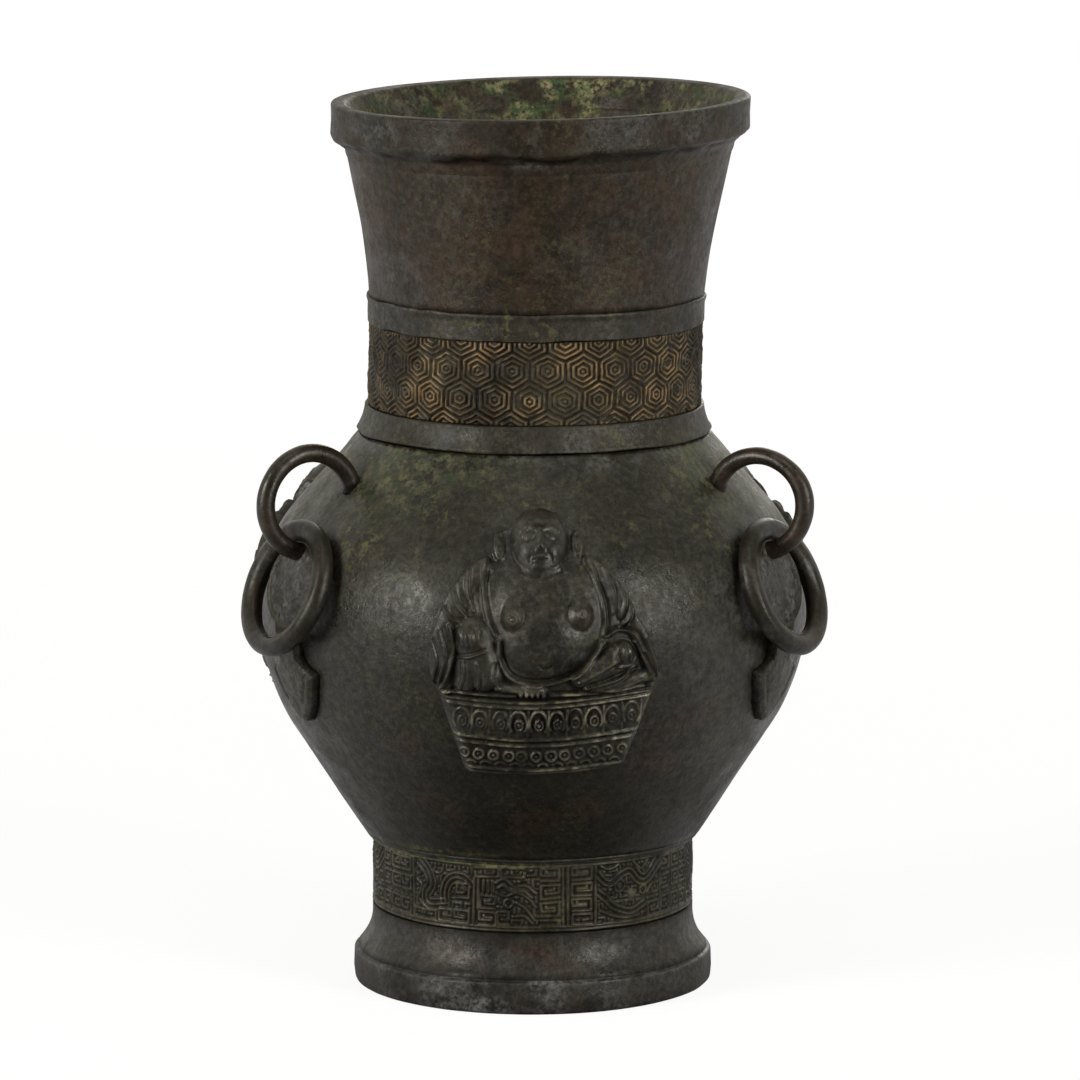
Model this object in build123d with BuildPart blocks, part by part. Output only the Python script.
"""Bronze hu vessel: a cast and assembled vase with three loops, three loose rings and three seated figures.

Millimetres, +Z up. The origin is on the vessel's axis, in the plane that its foot stands on.
The front figure faces -Y.
"""

import os
from math import acos, atan2, cos, degrees, hypot, pi, radians, sin, sqrt, tan

from build123d import *

os.makedirs("parts", exist_ok=True)

# Foot
plinth_height = 11.5
plinth_edge = 1.6
foot_bearing_width = 7.0
flare_width = 6.6
flare_height = 14.5
flare_sag = 1.6
waist_step = 1.2
waist_height = 2.5
foot_wall = 5.0
fret_seat_radius = 56.8
fret_band_thickness = 1.2
fret_band_height = 25.5
foot_lip_width = 4.0
foot_lip_height = 1.5

# Floor of the vessel, let into the top of the foot
floor_thickness = 4.0
floor_ledge = 4.0
floor_clearance = 0.1

# Belly: a straight run, two arcs that meet at the widest place, and a straight shoulder
wall = 5.0
belly_radius = 98.9
belly_lower_height = 82.5
belly_upper_height = 59.5
lower_curve = 80.0
upper_curve = 55.0

# Neck, with a seat for its three bands and a ledge round its foot
neck_seat_radius = 58.8
neck_wall = 4.5
neck_flange = 3.0
shoulder_ledge = 6.3
neck_step = 0.8
neck_flare = 9.0
neck_flare_height = 49.7
neck_flare_sag = 0.8
spigot_height = 9.5
collar_thickness = 5.0
collar_height = 9.8
collar_top_thickness = 2.0
collar_sag = 0.8
hexagon_band_height = 29.7
hexagon_band_thickness = 1.1
plain_band_height = 9.8
plain_band_thickness = 1.6
plain_band_edge = 0.5

# Mouth rim, which stands a little above the end of the neck's flare
rim_overhang = 6.2
rim_height = 18.5
rim_band_height = 12.0
rim_edge = 1.4
rim_step = 2.0
lip_width = 5.6

# Loops: round rod in the upright plane through the axis, both ends let into the shoulder
loop_radius = 17.7
loop_rod = 6.6
loop_drop = 29.6
loop_standoff = 9.5
tenon_depth = 2.6
socket_clearance = 0.05

# Rings, which hang in the loops and lean on the plaques
ring_radius = 21.3
ring_bar = 8.0
ring_gap = 0.35
settle_step = 0.25
halvings = 40

# Plaques behind the rings: a disc in the ring's eye, a waist and a leaf below
boss_thickness = 4.2
boss_margin = 2.1
boss_waist_width = 13.0
leaf_width = 22.0
leaf_offset = 3.7
leaf_shoulder = 9.0
leaf_point = 14.5

# Seated figures: a throne of two tiers, a robe and rounded forms set on the belly
figure_turn = 1.5
throne_drop = 44.0
throne_lower_tier = 12.4
throne_groove = 1.8
throne_upper_tier = 13.8
throne_bottom_width = 55.0
throne_top_width = 75.0
throne_backing = 1.8
throne_thickness = 3.4
robe_thickness = 2.4
robe_hem_width = 78.0
robe_hem_height = 10.0
robe_elbow_width = 64.0
robe_elbow_height = 28.0
robe_shoulder_width = 34.0
robe_shoulder_height = 46.0

# Rounded forms of the figure: place across and above the throne, width, height, rise and tilt
figure_forms = {
    "head": [(-1.3, 51.0, 19.8, 22.0, 7.5, 0)],
    "ears": [(-15.0, 49.5, 4.6, 10.5, 4.2, 0), (11.4, 49.5, 4.6, 10.5, 4.2, 0)],
    "torso": [(0, 23.0, 39.0, 37.0, 7.0, 0)],
    "breasts": [(-10.6, 27.0, 9.5, 10.5, 7.6, 0), (11.4, 27.0, 10.0, 11.5, 7.6, 0)],
    "sleeves": [(-25.5, 29.0, 14.0, 34.0, 5.0, -22), (25.5, 29.0, 14.0, 34.0, 5.0, 22)],
    "cuffs": [(-33.5, 11.5, 10.0, 25.0, 4.6, 8), (33.0, 12.0, 10.0, 24.0, 4.6, -14)],
    "knees": [(-23.5, 13.0, 15.0, 23.0, 6.4, 6), (22.0, 9.5, 23.0, 13.0, 6.2, 24)],
    "hands": [(-24.5, 20.0, 9.5, 7.0, 7.6, 0), (25.7, 14.5, 7.0, 7.0, 7.6, 0)],
    "feet": [(-5.0, 2.4, 12.0, 5.0, 6.0, 0), (9.0, 3.0, 14.0, 5.6, 5.2, 0)],
}

# Places round the vessel, in degrees
front_angle = -90
handle_angle = -30
handle_turns = {"right": 0, "rear": 120, "left": 240}
figure_turns = {"front": 0, "rear_right": 120, "rear_left": 240}

# Heights and radii that follow from the stack of pieces
foot_waist_radius = fret_seat_radius + waist_step
plinth_radius = foot_waist_radius + flare_width
fret_band_low = plinth_height + flare_height + waist_height
fret_band_top = fret_band_low + fret_band_height
foot_height = fret_band_top + foot_lip_height
foot_bore = fret_seat_radius - foot_wall
bearing_bore = plinth_radius - foot_bearing_width
floor_low = foot_height - floor_thickness
floor_radius = foot_bore + floor_ledge
floor_seat_radius = floor_radius + floor_clearance
belly_foot_radius = fret_seat_radius + foot_lip_width
belly_height = foot_height + belly_lower_height
shoulder_height = belly_height + belly_upper_height
shoulder_radius = neck_seat_radius + shoulder_ledge
collar_low = shoulder_height + neck_flange
collar_radius = neck_seat_radius + collar_thickness
hexagon_low = collar_low + collar_height
plain_low = hexagon_low + hexagon_band_height
flare_low = plain_low + plain_band_height
flare_top = flare_low + neck_flare_height
spigot_top = flare_top + spigot_height
neck_bore = neck_seat_radius - neck_wall
neck_radius = neck_seat_radius + neck_step
neck_top_radius = neck_radius + neck_flare
neck_top_bore = neck_top_radius - neck_wall
rim_radius = neck_top_radius + rim_overhang
rim_low = flare_top + rim_step
rim_top = rim_low + rim_height
boss_radius = ring_radius - ring_bar / 2 - boss_margin
leaf_start = ring_radius + leaf_offset
leaf_widest = leaf_start + leaf_shoulder
leaf_tip = leaf_widest + leaf_point
throne_low = belly_height - throne_drop
throne_top = throne_low + throne_lower_tier + throne_groove + throne_upper_tier

# Centres of the belly's two arcs, both level with its widest place
lower_centre = belly_radius - lower_curve
upper_centre = belly_radius - upper_curve


def touch_angle(centre, curve, end_radius, end_height):
    """Angle from level at which a straight run to the given end leaves an arc of the belly."""
    across = end_radius - centre
    rise = abs(end_height - belly_height)
    return atan2(rise, across) - acos(curve / hypot(across, rise))


lower_angle = touch_angle(lower_centre, lower_curve, belly_foot_radius, foot_height)
upper_angle = touch_angle(upper_centre, upper_curve, shoulder_radius, shoulder_height)


def lower_touch(extra):
    """Lower end of the belly's lower arc, moved out by extra, as (radius, height)."""
    reach = lower_curve + extra
    return (lower_centre + reach * cos(lower_angle), belly_height - reach * sin(lower_angle))


def upper_touch(extra):
    """Upper end of the belly's upper arc, moved out by extra, as (radius, height)."""
    reach = upper_curve + extra
    return (upper_centre + reach * cos(upper_angle), belly_height + reach * sin(upper_angle))


def belly_radius_at(height, extra=0.0):
    """Radius at a height of the belly's outside, or of a surface that lies extra outside it."""
    low = lower_touch(extra)
    high = upper_touch(extra)
    if height < low[1]:
        return low[0] - (low[1] - height) * tan(lower_angle)
    if height > high[1]:
        return high[0] - (height - high[1]) * tan(upper_angle)
    if height < belly_height:
        return lower_centre + sqrt((lower_curve + extra) ** 2 - (height - belly_height) ** 2)
    return upper_centre + sqrt((upper_curve + extra) ** 2 - (height - belly_height) ** 2)


def belly_gap(radius, height):
    """Distance of a point from the outside of the belly's arcs and shoulder."""
    if height < belly_height:
        return hypot(radius - lower_centre, height - belly_height) - lower_curve
    past_arc = atan2(height - belly_height, radius - upper_centre) - upper_angle
    return hypot(radius - upper_centre, height - belly_height) * cos(max(past_arc, 0)) - upper_curve


def belly_outline(extra):
    """Draw the belly's outline, moved out by extra, in the current line, and give its two ends."""
    low_end = (belly_radius_at(foot_height, extra), foot_height)
    high_end = (belly_radius_at(shoulder_height, extra), shoulder_height)
    Line(low_end, lower_touch(extra))
    CenterArc((lower_centre, belly_height), lower_curve + extra, -degrees(lower_angle), degrees(lower_angle))
    CenterArc((upper_centre, belly_height), upper_curve + extra, 0, degrees(upper_angle))
    Line(upper_touch(extra), high_end)
    return low_end, high_end


def belly_solid(extra, mode):
    """Combine the current part with the solid inside the belly's outside, moved out by extra."""
    with BuildSketch(Plane.XZ) as half:
        with BuildLine():
            low_end, high_end = belly_outline(extra)
            Polyline(high_end, (0, shoulder_height), (0, foot_height), low_end)
        make_face()
    revolve(half.sketch, axis=Axis.Z, mode=mode)


def radial_plane(angle):
    """Upright plane through the axis: local x points outward and local y is up."""
    turn = radians(angle)
    return Plane((0, 0, 0), x_dir=(cos(turn), sin(turn), 0), z_dir=(sin(turn), -cos(turn), 0))


def facing_plane(angle):
    """Upright plane through the axis that faces outward: local x runs round the vessel and local y is up."""
    turn = radians(angle)
    return Plane((0, 0, 0), x_dir=(-sin(turn), cos(turn), 0), z_dir=(cos(turn), sin(turn), 0))


def strip(inner_radius, thickness, low, height):
    """Round strip of rectangular section in the current part."""
    with BuildSketch(Plane.XZ) as section:
        with Locations((inner_radius + thickness / 2, low + height / 2)):
            Rectangle(thickness, height)
    revolve(section.sketch, axis=Axis.Z)


def keep(piece, name):
    """Label a finished piece and write it."""
    piece.label = name
    export_step(piece, f"parts/{name}.step")


# Loop: a circle whose centre stands off the straight shoulder
loop_centre_radius = shoulder_radius + loop_drop * sin(upper_angle) + loop_standoff * cos(upper_angle)
loop_centre_height = shoulder_height - loop_drop * cos(upper_angle) + loop_standoff * sin(upper_angle)


def loop_entry(way):
    """Angle on the loop, on the side that way points to, at which its middle line meets the belly's outside."""
    inside = 0.0
    outside = pi / 2
    for _ in range(halvings):
        middle = (inside + outside) / 2
        turn = upper_angle + pi + way * middle
        if belly_gap(loop_centre_radius + loop_radius * cos(turn), loop_centre_height + loop_radius * sin(turn)) < 0:
            inside = middle
        else:
            outside = middle
    return upper_angle + pi + way * inside


loop_start = loop_entry(1) - 2 * pi
loop_end = loop_entry(-1)


def bent_rod(angle, rod_radius, depth, mode=Mode.ADD):
    """Combine the current part with a loop's rod, let into the shoulder by depth at both ends."""
    plane = radial_plane(angle)
    tenon = depth / loop_radius
    first = loop_start - tenon
    centre = plane.from_local_coords((loop_centre_radius, loop_centre_height, 0))
    reach = plane.x_dir * cos(first) + plane.y_dir * sin(first)
    end_plane = Plane(centre + reach * loop_radius, x_dir=reach, z_dir=plane.z_dir.cross(reach))
    with BuildSketch(end_plane) as section:
        Circle(rod_radius)
    span = degrees(loop_end - loop_start + 2 * tenon)
    revolve(section.sketch, axis=Axis(centre, plane.z_dir), revolution_arc=span, mode=mode)


# Ring at rest: its top bar lies in the loop's eye, clear of the shoulder, and its bottom bar leans on the plaque
def top_bar_place(hang):
    """Centre of the ring's top bar, hang degrees outward from straight below the loop's centre."""
    reach = loop_radius - loop_rod / 2 - ring_bar / 2 - ring_gap
    turn = radians(hang)
    return (loop_centre_radius + reach * sin(turn), loop_centre_height - reach * cos(turn))


def ring_is_clear(top_bar, lean):
    """Whether a ring that leans outward by lean degrees clears the belly and its plaque."""
    turn = radians(lean)
    for step in range(0, 181, 5):
        drop = ring_radius * (1 - cos(radians(step)))
        side = ring_radius * sin(radians(step))
        radius = hypot(top_bar[0] + drop * sin(turn), side)
        cover = boss_thickness if drop > ring_radius and side < leaf_width / 2 else 0
        if belly_gap(radius, top_bar[1] - drop * cos(turn)) < cover + ring_bar / 2 + ring_gap:
            return False
    return True


ring_hang = 0.0
while belly_gap(*top_bar_place(ring_hang)) < ring_bar / 2 + ring_gap:
    ring_hang += settle_step
top_bar = top_bar_place(ring_hang)
ring_lean = 0.0
while not ring_is_clear(top_bar, ring_lean):
    ring_lean += settle_step
ring_centre_radius = top_bar[0] + ring_radius * sin(radians(ring_lean))
ring_centre_height = top_bar[1] - ring_radius * cos(radians(ring_lean))


# Foot casting: plinth, flare, seat of the fret band and ledge of the floor, open below
with BuildPart() as foot_casting:
    with BuildSketch(Plane.XZ):
        with BuildLine():
            flare_start = (plinth_radius, plinth_height)
            flare_end = (foot_waist_radius, plinth_height + flare_height)
            lip_radius = belly_foot_radius - (foot_height - fret_band_top) * tan(lower_angle)
            Polyline((bearing_bore, 0), (plinth_radius, 0), flare_start)
            SagittaArc(flare_start, flare_end, flare_sag)
            Polyline(
                flare_end,
                (foot_waist_radius, fret_band_low),
                (fret_seat_radius, fret_band_low),
                (fret_seat_radius, fret_band_top),
                (lip_radius, fret_band_top),
                (belly_foot_radius, foot_height),
                (floor_seat_radius, foot_height),
                (floor_seat_radius, floor_low),
                (foot_bore, floor_low),
                (bearing_bore, 0),
            )
        make_face()
    revolve(axis=Axis.Z)
    fillet(foot_casting.edges().filter_by(GeomType.CIRCLE).group_by(SortBy.RADIUS)[-1], plinth_edge)
keep(foot_casting.part, "foot_casting")

# Fret band round the foot
with BuildPart() as foot_fret_band:
    strip(fret_seat_radius, fret_band_thickness, fret_band_low, fret_band_height)
keep(foot_fret_band.part, "foot_fret_band")

# Floor of the vessel, held between the foot's ledge and the belly
with BuildPart(Plane.XY.offset(floor_low)) as base_plate:
    Cylinder(floor_radius, floor_thickness, align=(Align.CENTER, Align.CENTER, Align.MIN))
keep(base_plate.part, "base_plate")

# Belly casting: a shell with blind sockets for the loops
with BuildPart() as belly_casting:
    with BuildSketch(Plane.XZ):
        with BuildLine():
            outer_low, outer_high = belly_outline(0)
            inner_low, inner_high = belly_outline(-wall)
            Line(outer_low, inner_low)
            Line(outer_high, inner_high)
        make_face()
    revolve(axis=Axis.Z)
    for turn in handle_turns.values():
        bent_rod(
            handle_angle + turn,
            loop_rod / 2 + socket_clearance,
            tenon_depth + socket_clearance,
            mode=Mode.SUBTRACT,
        )
keep(belly_casting.part, "belly_casting")

# Neck casting: flange, seat of the bands, flare and the spigot that carries the rim
with BuildPart() as neck_casting:
    with BuildSketch(Plane.XZ):
        with BuildLine():
            flange_top_radius = shoulder_radius - neck_flange * tan(upper_angle)
            Polyline(
                (neck_bore, flare_low),
                (neck_bore, shoulder_height),
                (shoulder_radius, shoulder_height),
                (flange_top_radius, collar_low),
                (neck_seat_radius, collar_low),
                (neck_seat_radius, flare_low),
                (neck_radius, flare_low),
            )
            SagittaArc((neck_radius, flare_low), (neck_top_radius, flare_top), neck_flare_sag)
            Polyline((neck_top_radius, flare_top), (neck_top_radius, spigot_top), (neck_top_bore, spigot_top))
            SagittaArc((neck_bore, flare_low), (neck_top_bore, spigot_top), neck_flare_sag)
        make_face()
    revolve(axis=Axis.Z)
keep(neck_casting.part, "neck_casting")

# Collar at the root of the neck, which overhangs the shoulder
with BuildPart() as neck_collar:
    with BuildSketch(Plane.XZ):
        with BuildLine():
            collar_low_end = (collar_radius, collar_low)
            collar_high_end = (neck_seat_radius + collar_top_thickness, hexagon_low)
            Polyline(
                collar_high_end,
                (neck_seat_radius, hexagon_low),
                (neck_seat_radius, collar_low),
                collar_low_end,
            )
            SagittaArc(collar_low_end, collar_high_end, collar_sag)
        make_face()
    revolve(axis=Axis.Z)
keep(neck_collar.part, "neck_collar")

# Band of hexagons
with BuildPart() as hexagon_band:
    strip(neck_seat_radius, hexagon_band_thickness, hexagon_low, hexagon_band_height)
keep(hexagon_band.part, "hexagon_band")

# Plain band above the hexagons
with BuildPart() as upper_neck_band:
    strip(neck_seat_radius, plain_band_thickness, plain_low, plain_band_height)
    fillet(upper_neck_band.edges().filter_by(GeomType.CIRCLE).group_by(SortBy.RADIUS)[-1], plain_band_edge)
keep(upper_neck_band.part, "upper_neck_band")

# Mouth rim, seated over the neck's spigot
with BuildPart() as mouth_rim:
    with BuildSketch(Plane.XZ):
        with BuildLine():
            Polyline(
                (neck_top_radius, rim_low),
                (rim_radius, rim_top - rim_band_height),
                (rim_radius, rim_top),
                (rim_radius - lip_width, rim_top),
                (neck_top_bore, spigot_top),
                (neck_top_radius, spigot_top),
                close=True,
            )
        make_face()
    revolve(axis=Axis.Z)
    lip_edges = mouth_rim.edges().filter_by(GeomType.CIRCLE).group_by(Axis.Z)[-1]
    fillet(lip_edges, rim_edge)
keep(mouth_rim.part, "mouth_rim")

# Loop on the right, turned to its other two places
with BuildPart() as loop:
    bent_rod(handle_angle, loop_rod / 2, tenon_depth)

# Ring on the right, at rest in its loop
handle_plane = radial_plane(handle_angle)
ring_normal = handle_plane.x_dir * cos(radians(ring_lean)) + handle_plane.y_dir * sin(radians(ring_lean))
ring_centre = handle_plane.from_local_coords((ring_centre_radius, ring_centre_height, 0))
with BuildPart(Plane(ring_centre, x_dir=handle_plane.z_dir, z_dir=ring_normal)) as ring:
    Torus(ring_radius, ring_bar / 2)

# Plaque on the right: seated on the belly, with a hole that the loop's lower end passes through
with BuildPart() as boss:
    with BuildSketch(facing_plane(handle_angle)):
        with Locations((0, ring_centre_height)):
            Circle(boss_radius)
        with BuildLine():
            leaf_top = ring_centre_height - leaf_start
            leaf_low = (0, ring_centre_height - leaf_tip)
            leaf_side = ring_centre_height - leaf_widest
            right_waist = (boss_waist_width / 2, leaf_top)
            left_waist = (-boss_waist_width / 2, leaf_top)
            ThreePointArc(right_waist, (leaf_width / 2, leaf_side), leaf_low)
            ThreePointArc(left_waist, (-leaf_width / 2, leaf_side), leaf_low)
            Polyline(
                left_waist,
                (-boss_waist_width / 2, ring_centre_height),
                (boss_waist_width / 2, ring_centre_height),
                right_waist,
            )
        make_face()
    extrude(amount=belly_radius + 2 * boss_thickness)
    belly_solid(boss_thickness, Mode.INTERSECT)
    belly_solid(0, Mode.SUBTRACT)
    bent_rod(handle_angle, loop_rod / 2 + socket_clearance, tenon_depth, mode=Mode.SUBTRACT)

for side, turn in handle_turns.items():
    keep(loop.part.rotate(Axis.Z, turn), f"loop_{side}")
    keep(ring.part.rotate(Axis.Z, turn), f"ring_{side}")
    keep(boss.part.rotate(Axis.Z, turn), f"boss_{side}")


# Seated figure at the front, turned to its other two places
figure_plane = facing_plane(front_angle + figure_turn)


def throne_width(height):
    """Width of the throne at a height."""
    share = (height - throne_low) / (throne_top - throne_low)
    return throne_bottom_width + share * (throne_top_width - throne_bottom_width)


def throne_tier(low, high, thickness):
    """Tier of the throne in the current part, thickness proud of the belly."""
    low_half = throne_width(low) / 2
    high_half = throne_width(high) / 2
    with BuildSketch(figure_plane) as face:
        Polygon((-low_half, low), (low_half, low), (high_half, high), (-high_half, high), align=None)
    extrude(face.sketch, amount=belly_radius + 2 * thickness)
    belly_solid(thickness, Mode.INTERSECT)


def belly_place(across, height):
    """Plane that lies on the belly at a place of the figure, with local y up the belly."""
    radius = belly_radius_at(height)
    angle = front_angle + figure_turn + degrees(across / radius)
    upright = radial_plane(angle)
    centre = lower_centre if height < belly_height else upper_centre
    slope = atan2(height - belly_height, radius - centre)
    normal = upright.x_dir * cos(slope) + upright.y_dir * sin(slope)
    return Plane(upright.from_local_coords((radius, height, 0)), x_dir=-upright.z_dir, z_dir=normal)


with BuildPart() as throne_back:
    throne_tier(throne_low, throne_top, throne_backing)

with BuildPart() as throne_lower:
    throne_tier(throne_low, throne_low + throne_lower_tier, throne_thickness)

with BuildPart() as throne_upper:
    throne_tier(throne_top - throne_upper_tier, throne_top, throne_thickness)

with BuildPart() as robe:
    with BuildSketch(figure_plane):
        with BuildLine():
            robe_points = [
                (throne_top_width / 2, throne_top),
                (robe_hem_width / 2, throne_top + robe_hem_height),
                (robe_elbow_width / 2, throne_top + robe_elbow_height),
                (robe_shoulder_width / 2, throne_top + robe_shoulder_height),
            ]
            right_side = Spline(robe_points)
            left_side = Spline([(-across, height) for across, height in robe_points])
            Line(right_side @ 0, left_side @ 0)
            Line(right_side @ 1, left_side @ 1)
        make_face()
    extrude(amount=belly_radius + 2 * robe_thickness)
    belly_solid(robe_thickness, Mode.INTERSECT)

rounded_forms = []
for form in figure_forms.values():
    for across, above, width, height, rise, tilt in form:
        egg = scale(Solid.make_sphere(1), by=(width / 2, height / 2, rise), mode=Mode.PRIVATE)
        rounded_forms.append(belly_place(across, throne_top + above) * Rot(0, 0, tilt) * egg)

with BuildPart() as figure:
    add([throne_back.part, throne_lower.part, throne_upper.part, robe.part])
    add(rounded_forms)
    belly_solid(0, Mode.SUBTRACT)

for side, turn in figure_turns.items():
    keep(figure.part.rotate(Axis.Z, turn), f"figure_{side}")
